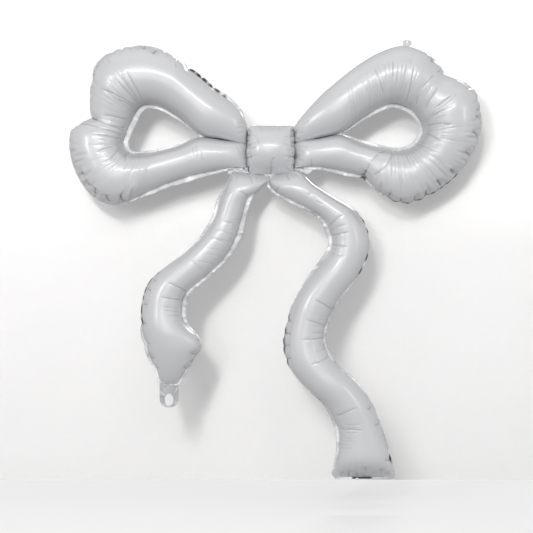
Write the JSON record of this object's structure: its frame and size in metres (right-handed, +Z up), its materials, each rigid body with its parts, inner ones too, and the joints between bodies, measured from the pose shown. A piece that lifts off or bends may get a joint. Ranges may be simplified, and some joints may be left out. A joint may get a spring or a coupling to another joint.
{
  "type": "bow foil balloon",
  "caption": "Inflated foil balloon shaped as a ribbon bow: two loops round open eyes, a square knot and wavy tails hinged at welded necks, with hanging and filling tabs.",
  "frame": {"origin": "middle of the knot, in the seam plane where the front and the back panels are welded", "axes": "+Z up along the hanging tails, +X to the right as seen from the front, the front faces -Y"},
  "size_m": [0.9121, 0.1226, 0.9646],
  "materials": {
    "foil": "satin pearl-grey metallised film",
    "seam_film": "glossy silver welded film",
    "tab_film": "clear glossy film"
  },
  "bodies": {
    "root": {"left_loop_front": "foil", "left_loop_back": "foil", "left_loop_outer_seam": "seam_film", "left_loop_eye_seam": "seam_film", "right_loop_front": "foil", "right_loop_back": "foil", "right_loop_outer_seam": "seam_film", "right_loop_eye_seam": "seam_film", "knot_front": "foil", "knot_back": "foil", "knot_seam": "seam_film", "neck_web": "seam_film", "hanging_tab": "tab_film"},
    "left_tail": {"left_tail_front": "foil", "left_tail_back": "foil", "left_tail_seam": "seam_film", "inflation_tab": "tab_film"},
    "right_tail": {"right_tail_front": "foil", "right_tail_back": "foil", "right_tail_seam": "seam_film"}
  },
  "joints": [
    {"name": "left_tail_swing", "type": "hinge", "parent": "root", "child": "left_tail", "pos_m": [-0.045, 0, -0.055], "axis": [0.9831, 0, -0.1829], "range_deg": [-25, 25]},
    {"name": "right_tail_swing", "type": "hinge", "parent": "root", "child": "right_tail", "pos_m": [0.03, 0, -0.058], "axis": [0.9844, 0, 0.1758], "range_deg": [-25, 25]}
  ]
}
